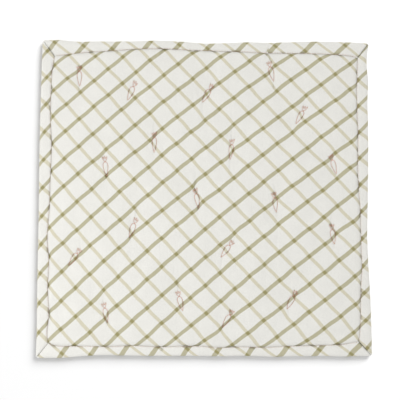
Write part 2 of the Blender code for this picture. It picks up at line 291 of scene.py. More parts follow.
def outer_line(side, shares):
    """Points of the outer edge. A corner's arc is shared between the two sides that meet there."""
    start, end = ends_of(side, "outer")
    length = np.hypot(*(end - start))
    along = (end - start) / length
    from_corner = np.minimum(shares, 1 - shares) * length
    turn = math.pi / 4 * np.clip(1 - from_corner / CORNER_RADIUS, 0, 1)
    rounded = from_corner < CORNER_RADIUS
    travel = np.where(rounded, CORNER_RADIUS * (1 - np.sin(turn)), from_corner)
    inset = np.where(rounded, CORNER_RADIUS * (1 - np.cos(turn)), 0.0)
    distance = np.where(shares <= 0.5, travel, length - travel)
    inset = inset + wave_in(side, "edge_in", shares)
    return start + along * distance[:, None] + inwards_of(side, "outer") * inset[:, None]


def seam_line(side, shares):
    start, end = ends_of(side, "seam")
    inset = wave_in(side, "seam_in", shares)
    return start + (end - start) * shares[:, None] + inwards_of(side) * inset[:, None]


def widths(side, shares):
    """The edge's width, square to the side."""
    return (seam_line(side, shares) - outer_line(side, shares)) @ inwards_of(side)


def length_to_corner(shares):
    return np.minimum(shares, 1 - shares) * SIDE_LENGTH


def panel_points(p, q):
    """Points of the pad inside the groove: its four sides blended at these shares."""
    corner = {name: np.array(c.seam) for name, c in CORNERS.items()}
    p2, q2 = p[:, None], q[:, None]
    flat = (
        corner["bottom_left"] * (1 - p2) * (1 - q2)
        + corner["bottom_right"] * p2 * (1 - q2)
        + corner["top_left"] * (1 - p2) * q2
        + corner["top_right"] * p2 * q2
    )
    across = seam_line("bottom", p) * (1 - q2) + seam_line("top", 1 - p) * q2
    upright = seam_line("left", 1 - q) * (1 - p2) + seam_line("right", q) * p2
    return across + upright - flat


def graded_shares(step, near):
    """Shares of a side, close together at its ends and evenly spaced between them."""
    ends = [d / SIDE_LENGTH for d in near]
    count = round((1 - 2 * ends[-1]) * SIDE_LENGTH / step)
    even = np.linspace(ends[-1], 1 - ends[-1], count + 1)
    return np.array(ends[:-1] + list(even) + [1 - d for d in ends[-2::-1]])


STATIONS = graded_shares(PAD_STEP, PAD_NEAR)
LAST = len(STATIONS) - 1


def share_at(index):
    return np.interp(index, np.arange(LAST + 1), STATIONS)


# ---- motifs


def motif_axes(motif):
    """A motif's directions on the plan: to its right, and up towards its head."""
    lean = math.radians(motif.lean_deg)
    return np.array([math.cos(lean), math.sin(lean)]), np.array([-math.sin(lean), math.cos(lean)])


def in_motif(points, motif):
    """Plan points in a motif's own frame: (to its right, up towards its head)."""
    right, up = motif_axes(motif)
    offset = points - np.array([motif.x, motif.y])
    return np.stack([offset @ right, offset @ up], axis=-1)


def from_motif(local, motif):
    right, up = motif_axes(motif)
    return np.array([motif.x, motif.y]) + local[:, :1] * right + local[:, 1:] * up


def root_half(down):
    """The root's half width at these shares of the way down it."""
    return ROOT_HALF_WIDTH * np.sin(math.pi * down**ROOT_BLUNT) ** ROOT_FULL


def root_outline():
    """The sewn root in its motif's frame: a blunt shoulder and a long taper down to its tip."""
    down = np.linspace(0, 1, 26)
    half, height = root_half(down), ROOT_TOP - ROOT_LENGTH * down
    right = np.column_stack([half, height])
    left = np.column_stack([-half, height])[::-1]
    return np.vstack([right, left[1:]])


def leaf_outline(sway):
    """The sewn tuft of three leaves: one line out from the root's shoulder, round their tips and back."""
    t = np.linspace(0, 1, 37)
    tips = np.cos(3 * math.pi * (t - 0.5)) ** 2
    length = LEAF_LENGTH * (1 - LEAF_NOTCH * (1 - tips)) * (1 + LEAF_SWAY * sway * np.sin(5 * t))
    angle = np.radians(LEAF_SPREAD * (2 * t - 1) + LEAN_SWAY_DEG * sway)
    round_tips = np.column_stack([np.sin(angle), np.cos(angle)]) * length[:, None]
    line = np.vstack([[(0.0, 0.0)], round_tips, [(0.0, 0.0)]])
    return line + [0.0, ROOT_TOP]


def motif_lines(motif):
    """The motif's sewn lines on the plan, each a little different from the next motif's."""
    sway = math.sin(motif.x * 0.7 + motif.y)
    lines = [root_outline() * [1 + ROOT_SWAY * sway, 1.0], leaf_outline(sway)]
    return [from_motif(line, motif) for line in lines]


def distance_to_line(points, line):
    """Distance from each point to a line of short straight runs."""
    best = np.full(len(points), np.inf)
    for start, end in zip(line[:-1], line[1:]):
        run = end - start
        t = np.clip((points - start) @ run / max(run @ run, 1e-9), 0, 1)
        best = np.minimum(best, np.hypot(*(points - start - t[:, None] * run).T))
    return best


def near_stitches(points, motif):
    """The points in a motif's zone, by number, and how far each is from the nearest stitch."""
    local = np.abs(in_motif(points, motif))
    close = np.flatnonzero((local[:, 0] < MOTIF_ZONE[0]) & (local[:, 1] < MOTIF_ZONE[1]))
    away = [distance_to_line(points[close], line) for line in motif_lines(motif)]
    return close, np.min(away, axis=0)


def sewn_relief(points, motif):
    """How the stitches sink into the cloth, and how the root puffs up between them."""
    relief = np.zeros(len(points))
    close, away = near_stitches(points, motif)
    local = in_motif(points, motif)[close]
    half = root_half(np.clip((ROOT_TOP - local[:, 1]) / ROOT_LENGTH, 0, 1))
    inside = np.clip((half - np.abs(local[:, 0])) / ROOT_PUFF_EDGE, 0, 1)
    relief[close] = ROOT_PUFF * inside - STITCH_SINK * np.exp(-((away / STITCH_SINK_REACH) ** 2))
    return relief


# ---- relief
# A length that divides inside a sine is millimetres to a radian.


def pinched(points):
    """Painted shade at stitches and creases, where the cloth is folded onto itself and lies in two layers,
    0 to 1.
    """
    shade_amount = np.zeros(len(points))
    for motif in MOTIFS:
        close, away = near_stitches(points, motif)
        shade_amount[close] += np.exp(-((away / STITCH_SHADE_REACH) ** 2))
        shade_amount += CREASE_SHADE * crease_depth(points, motif) / CREASE_DEPTH
    return np.clip(shade_amount, 0, 1)


def painted_seam_shade(along, away, phase):
    """Painted shade in the groove where the seam draws the cloth down and folds it onto itself, more in
    some places than others.
    """
    uneven_shade = SEAM_SHADE + SEAM_SHADE_VARIES * np.sin(along / 13 + 2.2 * np.sin(along / 47 + phase))
    return uneven_shade * np.exp(-((away / SEAM_SHADE_REACH) ** 2))


def lumps(points):
    """The wadding's slow unevenness."""
    x, y = points.T
    return (
        LUMPS_ACROSS * np.sin(x / 47 + 1.3 * np.sin(y / 90))
        + LUMPS_UPRIGHT * np.sin(y / 39 + 0.8 * np.sin(x / 70) + 1.0)
    )


def wrinkles(points):
    """Low wrinkles that run mostly up and down the quilt, where the cloth is slack between motifs."""
    x, y = points.T
    drift = 9 * np.sin(y / 61 + x / 210) + 5 * np.sin(y / 23 + x / 90)
    slack = 0.5 + 0.5 * np.sin(x / 83 + 2.1 * np.sin(y / 120) + 0.7)
    for motif in MOTIFS:
        slack += 0.8 * np.exp(-(((x - motif.x) / 38) ** 2 + ((y - motif.y) / 60) ** 2))
    fine = np.sin((x + drift) / 3.4) * np.sin(y / 57 + x / 31)
    broad = np.sin((x + 1.6 * drift) / 8.1 + 1.0) * np.sin(y / 74 + x / 45 + 2.0)
    return slack * (FINE_WRINKLES * fine + BROAD_WRINKLES * broad)


def motif_dip(points, motif):
    """Share of the crown that is left round a motif."""
    local = in_motif(points, motif)
    slide = np.clip(local[:, 1], -MOTIF_LENGTH * TUFT_SPINE, MOTIF_LENGTH * TUFT_SPINE)
    away = np.hypot(local[:, 0], local[:, 1] - slide)
    return 1 - TUFT_SHARE * np.exp(-away / TUFT_REACH)


def crease_depth(points, motif):
    """The pinched creases above a motif's head and below its tip, which run straight up and down."""
    lean = math.radians(motif.lean_deg)
    reach = MOTIF_LENGTH * CREASE_FOOT
    depth = np.zeros(len(points))
    for length, way in ((motif.crease_up, 1), (motif.crease_down, -1)):
        if not length:
            continue
        foot = (motif.x - way * reach * math.sin(lean), motif.y + way * reach * math.cos(lean))
        run = (points[:, 1] - foot[1]) * way
        aside = points[:, 0] - foot[0] - CREASE_SWAY * np.sin(run / 17 + motif.x)
        fade = np.clip(1 - run / length, 0, 1) * np.clip((run + CREASE_LEAD) / CREASE_LEAD, 0, 1)
        width = CREASE_HALF_WIDTH + CREASE_WIDENS * np.clip(run, 0, None)
        depth += CREASE_DEPTH * fade * np.exp(-((aside / width) ** 2) / 2)
    return depth


def tuck_depth(side, along, away, pad_side):
    """Depth of the side's pinches at these places: millimetres along the seam and away from it."""
    depth = np.zeros(len(along))
    for tuck in map(Tuck._make, TUCKS[side]):
        reach = tuck.into_pad if pad_side else tuck.into_edge
        aside = along - tuck.share * SIDE_LENGTH - TUCK_SWAY * np.sin(away / 9 + tuck.share * 40)
        fade = np.clip(1 - away / reach, 0, 1) ** 0.7
        depth += tuck.depth * fade * np.exp(-((aside / TUCK_HALF_WIDTH) ** 2) / 2)
    return depth


def seam_puckers(along, away, phase):
    """Small gathers along the seam, which fade out away from it."""
    beat = np.sin(along / 2.9 + 1.7 * np.sin(along / 23 + phase)) + 0.6 * np.sin(along / 5.3 + phase)
    return PUCKERS * beat * np.exp(-away / PUCKER_FADE) * (1 - np.exp(-away / PUCKER_START))


def panel_heights(points, p, q, fine):
    """The pad's top at these plan points, with its fine relief or without it."""
    rise = np.ones(len(points))
    for share in (p, q):
        rise *= 1 - np.exp(-length_to_corner(share) / CROWN_RISE)
    for motif in MOTIFS:
        rise *= motif_dip(points, motif)
    height = GROOVE_Z + (CROWN_Z - GROOVE_Z + lumps(points)) * rise
    for motif in MOTIFS:
        height -= crease_depth(points, motif) * rise
        if fine:
            height += sewn_relief(points, motif)
    if fine:
        height += wrinkles(points) * rise
        for side, (along, away) in seam_places(p, q).items():
            height += seam_puckers(along, away, PHASES[side])
            height -= tuck_depth(side, along, away, True) * rise
    return height


def seam_places(p, q):
    """For each side: (millimetres along it, millimetres away from its seam) of the pad's points."""
    return {
        "bottom": (p * SIDE_LENGTH, q * SIDE_LENGTH),
        "right": (q * SIDE_LENGTH, (1 - p) * SIDE_LENGTH),
        "top": ((1 - p) * SIDE_LENGTH, (1 - q) * SIDE_LENGTH),
        "left": ((1 - q) * SIDE_LENGTH, p * SIDE_LENGTH),
    }


# ---- cloth's grain


def gathered(points):
    """Where the pad's top sits in the flat cloth: motifs gather it from both sides and both ends."""
    x, y = points.T
    shift = np.zeros((len(points), 2))
    for motif in MOTIFS:
        up = y - motif.y
        slide = np.clip(up, -MOTIF_LENGTH / 2, MOTIF_LENGTH / 2)
        aside = x - motif.x + slide * math.tan(math.radians(motif.lean_deg))
        reach = GATHER_REACH + GATHER_BY_CREASE * np.where(up > 0, motif.crease_up, motif.crease_down)
        across = np.tanh(aside / GATHER_CORE) * np.exp(-np.abs(aside) / GATHER_FADE - (up / reach) ** 2)
        lengthways = np.tanh(up / LENGTHWAYS_CORE) * np.exp(-np.hypot(aside, up) / LENGTHWAYS_FADE)
        shift += np.stack([motif.gather / 2 * across, GATHER_LENGTHWAYS / 2 * lengthways], axis=1)
    return points + shift


def grain(points):
    """Flat cloth points along the two yarn directions. The check strays a little, as it was laid."""
    x, y = points.T
    places = []
    for check in (PALE, DARK):
        angle = math.radians(check.crossed_deg)
        stray = (check.skew * x * y + check.bow_x * x * x + check.bow_y * y * y) / HALF_QUILT**2
        places.append(x * math.cos(angle) + y * math.sin(angle) + check.start + stray)
    return np.stack(places, axis=1) + uneven(points)


def uneven(points):
    """The small bends that stitching and wadding leave in a woven line."""
    x, y = points.T
    pale = np.sin(x / 17 - y / 23 + 1.5 * np.sin(y / 71)) + 0.7 * np.sin(x / 41 - y / 9.5)
    dark = np.sin(x / 21 + y / 18 + 1.5 * np.sin(x / 83)) + 0.7 * np.sin(x / 10.5 + y / 37)
    return UNEVEN * np.stack([pale, dark], axis=1)


def slid(points, side, shares, away):
    """Pad cloth that slid as it was sewn, this share of the way along a side and this far in from it."""
    out = -inwards_of(side)
    along = np.array([-out[1], out[0]])
    for slip in map(Slip._make, SLIPS[side]):
        fade = np.exp(-(((shares - slip.share) / slip.spread) ** 2) - away / SLIP_REACH)
        points = points + np.multiply.outer(fade, slip.along * along + slip.out * out)
    return points


def pad_cloth(points, p, q):
    """The pad's cloth, with what is drawn down and outwards into the groove."""
    drawn = gathered(points)
    for side, (along, away) in seam_places(p, q).items():
        drawn = slid(drawn, side, along / SIDE_LENGTH, away)
        drawn -= inwards_of(side) * (GROOVE_TAKE_UP * np.exp(-away / GROOVE_REACH))[:, None]
    return grain(drawn)


def edge_cloth(side, share, seam, plan, travel):
    """The strip's cloth at these plan points across it, so far from the seam over its surface."""
    cloth = EDGE_CLOTH[side]
    out = -inwards_of(side)
    along = np.array([-out[1], out[0]])
    slip = cloth.slip + cloth.ease * (share - 0.5) * SIDE_LENGTH + (plan - seam) @ along
    slip = slip + cloth.twist * travel
    return grain(seam + np.outer(cloth.hidden + travel, out) + np.outer(slip, along))


# ---- meshes


def placed(name, data):
    """A new object in the scene."""
    obj = bpy.data.objects.new(name, data)
    bpy.context.scene.collection.objects.link(obj)
    return obj


def mesh_object(name, points_mm, faces, cloth_mm):
    mesh = bpy.data.meshes.new(name)
    mesh.from_pydata((np.asarray(points_mm) * MM).tolist(), [], faces)
    lay_cloth(mesh, cloth_mm)
    return placed(name, mesh)


def lay_cloth(mesh, cloth_mm):
    """Shades the mesh smooth and keeps its flat cloth places, in metres, as the UV map 'cloth'."""
    mesh.shade_smooth()
    layer = mesh.uv_layers.new(name="cloth")
    corner = np.empty(len(mesh.loops), np.int32)
    mesh.loops.foreach_get("vertex_index", corner)
    layer.data.foreach_set("uv", (np.asarray(cloth_mm)[corner] * MM).astype(np.float32).ravel())


def lay_painted_shade(mesh, shade_amount):
    """How much painted shade each vertex gets where the cloth is folded onto itself, for its material."""
    layer = mesh.attributes.new("painted_shade", "FLOAT", "POINT")
    layer.data.foreach_set("value", np.clip(shade_amount, 0, 1).astype(np.float32))


def grid_faces(columns, rows, closed=False):
    """Quads of a grid whose vertices are numbered row by row in each column."""
    faces = []
    for i in range(columns - 1):
        for j in range(rows if closed else rows - 1):
            k = (j + 1) % rows
            faces.append((i * rows + j, (i + 1) * rows + j, (i + 1) * rows + k, i * rows + k))
    return faces


def face_outwards(bm):
    bmesh.ops.recalc_face_normals(bm, faces=bm.faces)
    if bm.calc_volume(signed=True) < 0:
        bmesh.ops.reverse_faces(bm, faces=bm.faces)


def face_mesh_outwards(mesh):
    bm = bmesh.new()
    bm.from_mesh(mesh)
    face_outwards(bm)
    bm.to_mesh(mesh)
    bm.free()


def section_shares(over, under):
    """Places across the strip: its sewn edge, over the top to its outermost line, then under."""
    top = 0.5 + 0.5 * np.cos(np.linspace(0, math.pi, over))
    below = UNDER_SHARE * (1 - np.cos(np.linspace(0, math.pi / 2, under)))
    return np.concatenate([top, below[1:], UNDER_FLAT])


def roll_section(width, from_corner, detail=ROLL_DETAIL):
    """The strip's outer face in section at one station, as (inset, height) rows."""
    crest = ROLL_Z * (1 - MITRE_PINCH * math.exp(-from_corner / MITRE_REACH))
    crest -= MITRE_FOLD * math.exp(-((from_corner / MITRE_FOLD_REACH) ** 2))
    shares = section_shares(*detail)
    upper, under = np.split(shares, detail[:1])
    fall = np.clip((upper - CREST_SHARE) / (1 - CREST_SHARE), 0, 1) ** ROLL_SHOULDER
    inner = SEAM_Z + (crest - SEAM_Z) * np.clip(1 - fall, 0, 1) ** ROLL_FALL
    short = np.clip(1 - upper / CREST_SHARE, 0, 1) ** OUTER_ROUND
    outer = EDGE_Z + (crest - EDGE_Z) * np.clip(1 - short, 0, 1) ** (1 / OUTER_ROUND)
    round_off = np.clip(1 - under / UNDER_SHARE, 0, 1)
    below = EDGE_Z * (1 - np.sqrt(1 - round_off**2))
    height = np.concatenate([np.where(upper >= CREST_SHARE, inner, outer), below])
    return np.column_stack([shares * width, height])


def unit(rows):
    return rows / np.linalg.norm(rows, axis=1)[:, None]


def parallel(section, depth):
    """The section moved into the cloth by the same depth all along."""
    steps = unit(np.diff(section, axis=0))
    into = np.stack([-steps[:, 1], steps[:, 0]], axis=1)
    middle = np.vstack([into[:1], into]) + np.vstack([into, into[-1:]])
    return section + depth * 2 * middle / (middle**2).sum(axis=1)[:, None]


def travel_along(section):
    return np.concatenate([[0], np.cumsum(np.linalg.norm(np.diff(section, axis=0), axis=1))])


def rim_section(width, from_corner):
    """The pad's section from the groove's floor, inside the strip, to the underside."""
    section = parallel(roll_section(width, from_corner, RIM_DETAIL), CLOTH + GAP)
    section[-1] = (width + UNDERSIDE_STEP / 2, CLOTH + GAP)
    return np.vstack([[(width + GROOVE_CLEAR, GROOVE_Z)], section, [(width + UNDERSIDE_STEP, 0.0)]])


def next_side(side, step):
    names = list(SIDES)
    return names[(names.index(side) + step) % len(names)]


def rim_rows(side):
    """The rim's points and cloth at each station of a side, as (station, ring, ...) arrays."""
    width = widths(side, STATIONS)
    width[0] = min(width[0], widths(next_side(side, -1), STATIONS[-1:])[0])
    width[-1] = min(width[-1], widths(next_side(side, 1), STATIONS[:1])[0])
    outer, seam = outer_line(side, STATIONS), seam_line(side, STATIONS)
    points, cloth = [], []
    for k, from_corner in enumerate(length_to_corner(STATIONS)):
        section = rim_section(width[k], from_corner)
        plan = outer[k] + (seam[k] - outer[k]) * section[:, :1] / width[k]
        points.append(np.column_stack([plan, section[:, 1]]))
        beyond = GROOVE_TAKE_UP + travel_along(section)
        drawn = seam[k] - inwards_of(side) * beyond[:, None]
        cloth.append(grain(slid(drawn, side, STATIONS[k], 0.0)))
    return np.array(points), np.array(cloth)


RIM_RINGS = len(rim_section(34.0, SIDE_LENGTH / 2))


def near_sewing(points, reach):
    """Which points lie near a motif's stitches or in its creases."""
    near = np.zeros(len(points), bool)
    for motif in MOTIFS:
        close, away = near_stitches(points, motif)
        near[close] |= away < reach
        near |= crease_depth(points, motif) > 0.02 * CREASE_DEPTH
    return near


def refine_near_motifs(bm):
    """Halves the faces near a motif's sewing twice, so that stitches and creases can sink in."""
    for reach in (3 * FINE_REACH, FINE_REACH):
        middles = np.array([face.calc_center_median()[:2] for face in bm.faces])
        near = near_sewing(panel_points(share_at(middles[:, 0]), share_at(middles[:, 1])), reach)
        edges = {edge for face, inside in zip(bm.faces, near) if inside for edge in face.edges}
        bmesh.ops.subdivide_edges(bm, edges=list(edges), cuts=1, use_grid_fill=True)


def extrude_rim(bm, rings):
    """Extrudes the square's boundary ring by ring, with the ring's number as its height."""
    edges = [e for e in bm.edges if e.is_boundary]
    for ring in range(1, rings):
        grown = bmesh.ops.extrude_edge_only(bm, edges=edges)["geom"]
        for vertex in (g for g in grown if isinstance(g, bmesh.types.BMVert)):
            vertex.co.z = ring
        edges = [g for g in grown if isinstance(g, bmesh.types.BMEdge) and g.is_boundary]
    return edges


def make_pad(movement):
    """The filled pad as one closed body. It starts as a square of stations, with rings as heights."""
    bm = bmesh.new()
    bmesh.ops.create_grid(bm, x_segments=LAST, y_segments=LAST, size=LAST / 2)
    for vertex in bm.verts:
        vertex.co.x = round(vertex.co.x + LAST / 2)
        vertex.co.y = round(vertex.co.y + LAST / 2)
    refine_near_motifs(bm)
    edges = extrude_rim(bm, RIM_RINGS)
    base = bmesh.ops.contextual_create(bm, geom=edges)["faces"]
    bmesh.ops.triangulate(bm, faces=base)
    index = np.array([vertex.co[:] for vertex in bm.verts])
    i, j, _ = index.T
    station = np.round(index).astype(int)
    ring = station[:, 2]
    p, q = share_at(i), share_at(j)
    plan = panel_points(p, q)
    points = np.column_stack([plan, panel_heights(plan, p, q, True)])
    if movement:
        points += movement(p, q)
    cloth = pad_cloth(plan, p, q)
    on_side = {
        "bottom": (j == 0, station[:, 0]),
        "right": (i == LAST, station[:, 1]),
        "top": (j == LAST, LAST - station[:, 0]),
        "left": (i == 0, LAST - station[:, 1]),
    }
    for side, (chosen, along) in on_side.items():
        rim_points, rim_cloth = rim_rows(side)
        points[chosen] = rim_points[along[chosen], ring[chosen]]
        cloth[chosen] = rim_cloth[along[chosen], ring[chosen]]
    for vertex, point in zip(bm.verts, points * MM):
        vertex.co = point
    face_outwards(bm)
    mesh = bpy.data.meshes.new("pad")
    bm.to_mesh(mesh)
    bm.free()
    lay_cloth(mesh, cloth)
    # painted shade at stitches, creases, tucks and the seam, on the pad's top only
    shade_amount = pinched(plan)
    for side, (along, away) in seam_places(p, q).items():
        shade_amount += tuck_depth(side, along, away, True) / TUCK_FULL_SHADE + painted_seam_shade(along, away, PHASES[side])
    lay_painted_shade(mesh, shade_amount * (ring == 0))
    return placed("pad", mesh)


def make_edge(side):
    """One edge strip: a bent sheet of cloth round the pad's rim, puckered where it is sewn."""
    shares = graded_shares(EDGE_STEP, EDGE_NEAR)
    half_gap = GAP / 2 * math.sqrt(2) / SIDE_LENGTH
    shares[0] += half_gap
    shares[-1] -= half_gap
    outer, seam, width = outer_line(side, shares), seam_line(side, shares), widths(side, shares)
    points, cloth, shade_amount = [], [], []
    for k, from_corner in enumerate(length_to_corner(shares)):
        face = roll_section(width[k], from_corner)
        travel = travel_along(face)
        over = face[:, 1] > EDGE_Z
        away = width[k] - face[:, 0]
        along = np.full(len(face), shares[k] * SIDE_LENGTH)
        calm = 1 - math.exp(-from_corner / CALM_REACH)
        tucks = tuck_depth(side, along, away, False)
        # painted shade at the tucks and in the seam's groove
        shade_mask = tucks / TUCK_FULL_SHADE + painted_seam_shade(along, away, PHASES[side])
        # and painted shade along the mitre
        shade_mask += math.exp(-((from_corner / MITRE_FOLD_REACH) ** 2))
        shade_amount.append(np.concatenate([shade_mask, shade_mask[::-1]]))
        pucker = seam_puckers(along, away, PHASES[side] + 2) * calm - tucks
        pucker += EDGE_SWELL * np.sin(along / 26 + PHASES[side]) * np.sin(math.pi * away / width[k]) * calm
        face[:, 1] += np.where(over, pucker, 0)
        loop = np.vstack([face, parallel(face, CLOTH)[::-1]])
        plan = outer[k] + (seam[k] - outer[k]) * (loop[:, :1] / width[k])
        points.append(np.column_stack([plan, loop[:, 1]]))
        flat = edge_cloth(side, shares[k], seam[k], plan[: len(face)], travel)
        cloth.append(np.vstack([flat, flat[::-1]]))
    around = len(points[0])
    faces = grid_faces(len(shares), around, closed=True)
    last = (len(shares) - 1) * around
    faces += [tuple(range(around)), tuple(range(last + around - 1, last - 1, -1))]
    obj = mesh_object(f"edge_{side}", np.vstack(points), faces, np.vstack(cloth))
    lay_painted_shade(obj.data, np.concatenate(shade_amount))
    face_mesh_outwards(obj.data)
    return obj, float(travel[-1])


# ---- stitches


def thread_mesh(name, lines, stitch, trees):
    """Every stitch of these plan lines as one joined mesh of short, bowed, closed threads."""
    length, gap, radius = stitch
    rings, sides = 7, 6
    t = np.linspace(0, 1, rings)
    girth = radius * (STITCH_TIP + (1 - STITCH_TIP) * np.sin(math.pi * t) ** 0.6)
    lift = radius * STITCH_LIFT - STITCH_DIP * (1 - np.sin(math.pi * t) ** 0.5)
    turn = np.arange(sides) / sides * 2 * math.pi
    tube = np.array(grid_faces(rings, sides, closed=True))
    beside, above = (np.outer(girth, share(turn))[..., None] for share in (np.cos, np.sin))
    points, faces, cloth = [], [], []
    for line in lines:
        travel = travel_along(line)
        count = max(1, round(travel[-1] / (length + gap)))
        pitch = travel[-1] / count
        for k in range(count):
            at = k * pitch + gap / 2 + (pitch - gap) * t
            plan = np.column_stack([np.interp(at, travel, line[:, a]) for a in range(2)])
            z = np.array([surface_height(trees, point) for point in plan])
            centre = np.column_stack([plan, z + lift])
            ahead = unit(np.gradient(centre, axis=0))
            aside = unit(np.cross(ahead, [0.0, 0.0, 1.0]))
            over = np.cross(aside, ahead)
            start = len(points) * rings * sides
            ring_points = centre[:, None] + beside * aside[:, None] + above * over[:, None]
            points.append(ring_points.reshape(-1, 3))
            along, around = np.meshgrid(at, turn * radius, indexing="ij")
            cloth.append(np.column_stack([along.ravel(), around.ravel()]))
            end = start + (rings - 1) * sides
            faces += (tube + start).tolist()
            faces += [range(start + sides - 1, start - 1, -1), range(end, end + sides)]
    obj = mesh_object(name, np.vstack(points), faces, np.vstack(cloth))
    face_mesh_outwards(obj.data)
    return obj


def surface_height(trees, point):
    """The highest surface over a plan point, in millimetres."""
    start = Vector((point[0] * MM, point[1] * MM, 1.0))
    hits = [tree.ray_cast(start, Vector((0, 0, -1)))[0] for tree in trees]
    return max(hit.z for hit in hits if hit is not None) / MM


def seam_stitch_line(side):
    shares = np.linspace(SEAM_STITCH_START, 1 - SEAM_STITCH_START, 260)
    return seam_line(side, shares) - inwards_of(side) * SEAM_STITCH_INSET


# ---- simulation


def filled_cover():
    """How the sewn-down top moves as its wadding pushes it out: a function of the pad's shares."""
    shares = graded_shares(SIM_STEP, SIM_NEAR)
    count = len(shares)
    p, q = (grid.ravel() for grid in np.meshgrid(shares, shares, indexing="ij"))
    plan = panel_points(p, q)
    full = np.column_stack([plan, panel_heights(plan, p, q, False)])
    start = full * [1, 1, SIM_START] + [0, 0, GROOVE_Z * (1 - SIM_START)]
    cover = mesh_object("cover", start, grid_faces(count, count), plan)
    held = near_sewing(plan, SIM_HOLD) | (np.minimum.reduce([p, 1 - p, q, 1 - q]) * SIDE_LENGTH < SIM_HOLD)
    group = cover.vertex_groups.new(name="held")
    group.add(np.flatnonzero(held).tolist(), 1.0, "REPLACE")
    modifier = cover.modifiers.new("push", "CLOTH")
    settings = modifier.settings
    settings.quality = 6
    settings.mass = 0.15
    settings.tension_stiffness = settings.compression_stiffness = 12.0
    settings.shear_stiffness = 4.0
    settings.bending_stiffness = 0.05
    settings.shrink_min = settings.shrink_max = -SIM_SLACK
    settings.vertex_group_mass = group.name
    settings.use_pressure = True
    settings.uniform_pressure_force = SIM_PRESSURE
    settings.effector_weights.gravity = 0.0
    scene = bpy.context.scene
    for frame_number in range(1, SIM_FRAMES + 1):
        scene.frame_set(frame_number)
    settled = cover.evaluated_get(bpy.context.evaluated_depsgraph_get()).to_mesh()
    place = np.empty(len(start) * 3)
    settled.vertices.foreach_get("co", place)
    moved = place.reshape(-1, 3) / MM - full
    bpy.data.objects.remove(cover)
    scene.frame_set(1)
    far = np.linalg.norm(moved, axis=1)
    moved *= (SIM_CAP * np.tanh(far / SIM_CAP) / np.maximum(far, 1e-9))[:, None]
    moved = moved.reshape(count, count, 3)

    def movement(p, q):
        at = [np.interp(share, shares, np.arange(count)) for share in (p, q)]
        low = [np.clip(place.astype(int), 0, count - 2) for place in at]
        s, t = ((place - base)[:, None] for place, base in zip(at, low))
        i, j = low
        near = moved[i, j] * (1 - t) + moved[i, j + 1] * t
        far = moved[i + 1, j] * (1 - t) + moved[i + 1, j + 1] * t
        return near * (1 - s) + far * s

    return movement


# ---- materials


def feed(tree, node, inputs):
    """Sets a node's inputs to numbers or colours, or links them."""
    for name, value in inputs.items():
        if isinstance(value, (int, float, tuple)):
            node.inputs[name].default_value = value
        else:
            tree.links.new(value, node.inputs[name])


def new_material(name):
    """A new material, its node tree and its shader."""
    material = bpy.data.materials.new(name)
    material.use_nodes = True
    return material, material.node_tree, material.node_tree.nodes["Principled BSDF"]


def maths(tree, operation, *values):
    node = tree.nodes.new("ShaderNodeMath")
    node.operation = operation
    feed(tree, node, dict(enumerate(values)))
    return node.outputs[0]


def mapped(tree, value, *limits, smooth=False):
    """A value mapped from one range to another: limits are from low, from high, to low, to high."""
    node = tree.nodes.new("ShaderNodeMapRange")
    node.interpolation_type = "SMOOTHSTEP" if smooth else "LINEAR"
    names = ("Value", "From Min", "From Max", "To Min", "To Max")
    feed(tree, node, dict(zip(names, (value, *limits))))
    return node.outputs["Result"]


def band(tree, place, pitch, width, soft):
    """1 inside the check's lines, which are centred on whole pitches of this place, 0 between them."""
    turns = maths(tree, "DIVIDE", place, pitch)
    near = maths(tree, "FRACT", maths(tree, "ADD", turns, 0.5))
    away = maths(tree, "ABSOLUTE", maths(tree, "SUBTRACT", near, 0.5))
    inner, outer = (width / 2 - soft) / pitch, (width / 2 + soft) / pitch
    return mapped(tree, away, inner, outer, 1.0, 0.0, smooth=True)


def mixed(tree, factor, a, b, blend="MIX"):
    node = tree.nodes.new("ShaderNodeMix")
    node.data_type = "RGBA"
    node.blend_type = blend
    places = {socket.name: i for i, socket in enumerate(node.inputs) if socket.enabled}
    feed(tree, node, {places["Factor"]: factor, places["A"]: a, places["B"]: b})
    return next(socket for socket in node.outputs if socket.enabled)


def noise(tree, coordinates, scale, detail, rough=0.5):
    node = tree.nodes.new("ShaderNodeTexNoise")
    feed(tree, node, {"Vector": coordinates, "Scale": scale, "Detail": detail, "Roughness": rough})
    return node.outputs["Fac"]


def bump(tree, height, distance, strength, **normal):
    node = tree.nodes.new("ShaderNodeBump")
    feed(tree, node, {"Height": height, "Distance": distance, "Strength": strength, **normal})
    return node.outputs["Normal"]


CREAM = (0.82, 0.81, 0.765, 1.0)
DARK_LINE = (0.505, 0.476, 0.327, 1.0)
PALE_LINE = (0.68, 0.642, 0.50, 1.0)
CROSSING = (0.335, 0.303, 0.142, 1.0)
CORAL = (0.76, 0.37, 0.275, 1.0)
RUSSET = (0.55, 0.30, 0.11, 1.0)
PLY_SHADE = (0.72, 0.72, 0.72, 1.0)  # painted shade: how dark the thread is between its plies

# Noises: about how many swells there are to a metre, how many finer layers, and how rough these are.
WANDER_NOISE = (140.0, 3.0)
SLUB_NOISE = (330.0, 3.0, 0.7)
PATCH_NOISE = (22.0, 2.0)
CRINKLE_NOISE = (120.0, 3.0, 0.6)
CREASE_NOISE = (14.0, 3.0, 0.6)  # to a metre that CREASE_STRETCH has stretched
DYE_NOISE = (75.0, 2.0)
DYE_RANGE = (0.45, 0.6)  # the noise where the dye turns from coral to russet
CREASE_STRETCH = (9.0, 1.6, 1.0)  # the faint creases are narrow across the quilt and long up it
